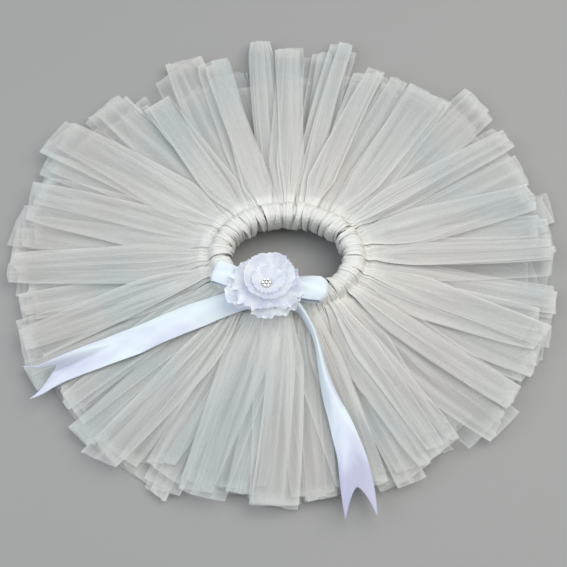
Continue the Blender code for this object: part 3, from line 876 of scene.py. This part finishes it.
def ribbon_tail(tail, look):
    """A long tail laid over the tulle, with a soft fold along it, a turned-up edge and a swallowtail."""
    keys = np.array(tail.places, float)
    line = smooth_rows(keys, [12] * (len(keys) - 1))
    steps = np.hypot(np.diff(line[:, 0]), np.diff(line[:, 1]))
    length = np.concatenate([[0], np.cumsum(steps)])
    side = np.linspace(-1, 1, RIBBON_COLUMNS)[None, :]
    at = cut_end(tail, side, length[-1])
    x, y, opened, crease, roll = (np.interp(at, length, line[:, column]) for column in range(5))
    opened, roll = np.clip(opened, 0.1, 1), np.clip(roll, 0, 1)

    # Each point is set off square to the middle line
    level, stand = turned_edge(side, opened, roll)
    lobe_length = tail.notch * LOBE_OVER_NOTCH
    lobe = np.clip((at - length[-1] + lobe_length) / lobe_length, 0, 1)
    level = level * (1 + tail.splay * lobe**2 * (side > 0))
    way_x = np.interp(at, length[:-1] + steps / 2, np.diff(line[:, 0]) / steps)
    way_y = np.interp(at, length[:-1] + steps / 2, np.diff(line[:, 1]) / steps)
    x = x - way_y * level
    y = y + way_x * level

    end_lift = tail.lift * np.clip((at - length[-1] + END_LIFTS_OVER) / END_LIFTS_OVER, 0, 1) ** 2
    raised = RIBBON_CLEARANCE + long_fold(side, at, opened, crease) + ripples(side, at)
    points = np.stack([x, y, skirt_top(x, y) + raised + stand + end_lift], axis=-1)
    # How strongly painted mauve shade darkens each point towards the tail's end
    dusk = tail.dusk * np.clip((at - PAINTED_SHADE_FROM) / PAINTED_SHADE_OVER, 0, 1)
    flat = (RIBBON_WIDTH, float(length[-1]))
    piece = satin_piece(f"ribbon_{tail.name}", points, flat, f"ribbon_tail_{tail.name}", look, dusk)


def bow_loop(bow, look):
    """A loop of the bow: the ribbon runs out along the collar, turns over and comes back to the knot."""
    side = math.copysign(1.0, bow.reach_x)
    start = np.array([KNOT_X + side * KNOT_HALF, KNOT_Y])
    way = np.array([bow.reach_x, bow.reach_y]) - start
    reach = np.linalg.norm(way)
    way = way / reach
    square = np.array([-way[1], way[0]]) * side
    share = np.linspace(0, 1, BOW_ROWS)
    turn = np.clip((share - BOW_RUN) / BOW_TURN, 0, 1) * math.pi
    out = np.minimum(np.minimum(share, 1 - share) / BOW_RUN, 1) * BOW_RUN_REACH
    out = out + BOW_TURN_REACH * np.sin(turn)
    swell = np.sin(np.clip(out, 0, 1) * math.pi / 2)
    rise = (1 - np.cos(turn)) / 2 * (BOW_LEAST_RISE + (bow.puff - BOW_LEAST_RISE) * swell)
    across = np.linspace(-1, 1, BOW_COLUMNS)
    points = np.empty((BOW_ROWS, BOW_COLUMNS, 3))
    for row in range(BOW_ROWS):
        half = (bow.start_width + (bow.width - bow.start_width) * min(1, out[row] * BOW_WIDENS)) / 2
        lean = np.array([0.0, 1.0]) * (1 - out[row]) + square * out[row]
        lean = lean / np.linalg.norm(lean)
        rounded = reach * out[row] * (1 - bow.rounded * out[row] ** 2 * across**4)
        points[row, :, 0] = start[0] + way[0] * rounded + lean[0] * half * across
        points[row, :, 1] = start[1] + way[1] * rounded + lean[1] * half * across
        pleat = np.cos(across * math.pi * BOW_PLEATS) * (1 - out[row]) ** 2
        above = np.clip((rise[row] - TOP_FROM) / TOP_OVER, 0, 1)
        dent = BOW_DENT * np.sin(across * 3.4 + out[row] * 3) * out[row] * above
        crown = bow.crown * np.sin(np.clip(out[row], 0, 1) * math.pi * 0.75) * (1 - across**2) * above
        points[row, :, 2] = BOW_LOW + rise[row] + np.maximum(0, pleat) + dent + crown
    length = float(np.linalg.norm(np.diff(points[:, BOW_COLUMNS // 2], axis=0), axis=1).sum())
    piece = satin_piece(f"bow_{bow.name}", points, (RIBBON_WIDTH, length), f"bow_loop_{bow.name}", look)


def bow_wrap(look):
    """The narrow strap of satin round the bow's middle."""
    turn = np.linspace(0, 2 * math.pi, WRAP_SIDES, endpoint=False)
    y = np.sign(np.cos(turn)) * np.abs(np.cos(turn)) ** WRAP_CORNER * WRAP_HALF_DEPTH
    z = np.sign(np.sin(turn)) * np.abs(np.sin(turn)) ** WRAP_CORNER * WRAP_HALF_HEIGHT
    across = np.linspace(-WRAP_WIDTH / 2, WRAP_WIDTH / 2, WRAP_ROWS)
    points = np.empty((WRAP_ROWS, WRAP_SIDES, 3))
    for row, x in enumerate(across):
        swell = 1 + WRAP_SWELL * math.cos(row * 2.0)
        points[row, :, 0] = KNOT_X + x
        points[row, :, 1] = KNOT_Y + y * swell
        points[row, :, 2] = WRAP_MIDDLE + z * swell
    flat_x, flat_y = np.meshgrid(np.arange(WRAP_SIDES) * WRAP_STEP, across)
    moved = points * MM + np.array([WAIST_X, WAIST_Y, 0])
    piece = sheet_mesh("bow_wrap", moved, np.stack([flat_x, flat_y], axis=-1) * MM, look, wrap=True)
    make_satin_thick(piece)
    finish_piece(piece, "ribbon_satin", "bow_knot")


# Flower


def rim_noise(draw, turn, least, most):
    """A wavy value from about -1 to 1 all round, of several counts of waves from the least to the most."""
    total = 0
    for count in range(least, most + 1, max(1, (most - least) // 6)):
        total = total + draw.uniform(0.4, 1.0) * np.sin(count * turn + draw.uniform(*ANY_PHASE))
    return total / 2.2


def flower_layer(number, layer, look):
    """A cut round of chiffon, curled up at the rim, with a frilled and ragged edge."""
    draw = np.random.default_rng(FLOWER_SEED + number)
    turn = np.linspace(0, 2 * math.pi, PETAL_SIDES, endpoint=False)[None, :]
    ring = np.linspace(FIRST_RING, 1, PETAL_RINGS)[:, None]
    front = np.clip(-np.sin(turn), 0, 1) ** 2
    shape = 1 - layer.back * np.clip(np.sin(turn + 0.15), 0, 1) ** 0.7
    shape = shape - (FRONT_SHORTER if number < FRONT_SHORTER_LAYERS else 0) * front
    uneven = LOBE_SHARE * rim_noise(draw, turn, *LOBE_WAVES) + RAG_SHARE * rim_noise(draw, turn, *RAG_WAVES)
    radius = layer.radius * ring * (1 - ring**2 + ring**2 * shape * (1 + layer.ragged * uneven))
    frills = rim_noise(draw, turn, layer.frills - FRILLS_STRAY, layer.frills + FRILLS_STRAY)
    frill = layer.frill * frills * ring**4
    soft = SOFT_HIGH * rim_noise(draw, turn, *SOFT_WAVES) * ring**2
    curl = np.clip((ring - CURL_FROM) / CURL_OVER, 0, 1) ** 1.6
    low = FLOWER_BASE + number * LAYER_STEP
    high = low + (layer.cup - layer.droop * front) * curl + (frill + soft) * curl
    x = FLOWER_X + layer.x * ring + radius * np.cos(turn)
    y = FLOWER_Y + layer.y * ring + radius * np.sin(turn)
    points = np.stack(np.broadcast_arrays(x, y, high), axis=-1) * MM + np.array([WAIST_X, WAIST_Y, 0])
    flat = np.stack([layer.radius * ring * np.cos(turn), layer.radius * ring * np.sin(turn)], axis=-1) * MM
    edge = np.broadcast_to(np.clip((ring - RIM_FROM) / RIM_OVER, 0, 1), points.shape[:2])
    piece = sheet_mesh(f"petals_{layer.name}_cloth", points, flat, look, wrap=True, edge=edge)
    finish_piece(piece, "flower_chiffon", f"petals_{layer.name}")


# Stage

# Floor and light all round, in metres and linear colour
FLOOR_SIDE = 8
FLOOR_HIGH = -0.4 * MM
FLOOR_GREY = (0.36, 0.36, 0.355)
STUDIO_LIGHT = (0.94, 0.97, 1.0, 1.0)
STUDIO_STRENGTH = 0.36

# Lamps: place and side in metres, power in watts and colour
Lamp = namedtuple("Lamp", "name place side power colour")
LAMPS = (
    Lamp("window", (0.8, 0.15, 1.65), 1.7, 26, (1.0, 0.965, 0.92)),
    Lamp("fill", (-1.3, -0.2, 1.3), 1.4, 13, (0.82, 0.92, 1.0)),
)


def stage():
    """A plain pale floor in plain soft light from all round."""
    bpy.ops.mesh.primitive_plane_add(size=FLOOR_SIDE, location=(0, 0, FLOOR_HIGH))
    floor = bpy.context.object
    floor.name = "floor"
    floor.data.materials.append(shader_of("pale floor", FLOOR_GREY, 0.9)[0])
    world = bpy.data.worlds.new("studio")
    world.use_nodes = True
    background = world.node_tree.nodes["Background"]
    background.inputs["Color"].default_value = STUDIO_LIGHT
    background.inputs["Strength"].default_value = STUDIO_STRENGTH
    bpy.context.scene.world = world


def area_light(lamp):
    """A soft square lamp that points at the skirt."""
    data = bpy.data.lights.new(lamp.name, "AREA")
    data.size = lamp.side
    data.energy = lamp.power
    data.color = lamp.colour
    light = bpy.data.objects.new(lamp.name, data)
    light.location = lamp.place
    light.rotation_euler = (-Vector(lamp.place)).to_track_quat("-Z", "Y").to_euler()
    bpy.context.scene.collection.objects.link(light)


# The photograph's view: how high and how far off, in metres, the camera stands, where the waist's middle
# shows in the picture, in pixels, and how large a pixel is there
CAMERA_ELEVATION = math.radians(65)
CAMERA_DISTANCE = 1.8
CAMERA_TARGET_HIGH = 36 * MM
PHOTO_SIDE = 567
PHOTO_TARGET_X, PHOTO_TARGET_Y = 287, 258
MM_A_PIXEL = 1.05
SENSOR_WIDTH = 36


def camera():
    """A camera that sees the skirt from the photograph's angle and at its scale."""
    focal = CAMERA_DISTANCE / (MM_A_PIXEL * MM)
    target = Vector((WAIST_X, WAIST_Y, CAMERA_TARGET_HIGH))
    back = Vector((0, -math.cos(CAMERA_ELEVATION), math.sin(CAMERA_ELEVATION)))
    up = Vector((0, math.sin(CAMERA_ELEVATION), math.cos(CAMERA_ELEVATION)))
    right = Vector((1, 0, 0))
    middle = PHOTO_SIDE / 2
    aim = -back * focal - right * (PHOTO_TARGET_X - middle) + up * (PHOTO_TARGET_Y - middle)
    data = bpy.data.cameras.new("camera")
    data.sensor_width = SENSOR_WIDTH
    data.lens = SENSOR_WIDTH * focal / PHOTO_SIDE
    eye = bpy.data.objects.new("camera", data)
    eye.location = target + back * CAMERA_DISTANCE
    eye.rotation_euler = aim.to_track_quat("-Z", "Y").to_euler()
    bpy.context.scene.collection.objects.link(eye)
    bpy.context.scene.camera = eye


camera()
stage()
for lamp in LAMPS:
    area_light(lamp)
bpy.context.scene.view_settings.view_transform = "Standard"
bpy.context.scene.cycles.transparent_max_bounces = 24

tulle = tulle_material()
for index, strip in enumerate(STRIPS):
    tulle_strip(index, strip, tulle)

satin = satin_material()
bow_wrap(satin)
for bow in BOWS:
    bow_loop(bow, satin)
for tail in TAILS:
    ribbon_tail(tail, satin)

chiffon = chiffon_material()
for index, layer in enumerate(LAYERS):
    flower_layer(index, layer, chiffon)

looks = {
    "elastic_band": webbing_material(),
    "jewel_setting": metal_material(),
    "jewel_stone": crystal_material(),
}
for name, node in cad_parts.items():
    for start, look in looks.items():
        if name.startswith(start):
            node.material_slots[0].material = look
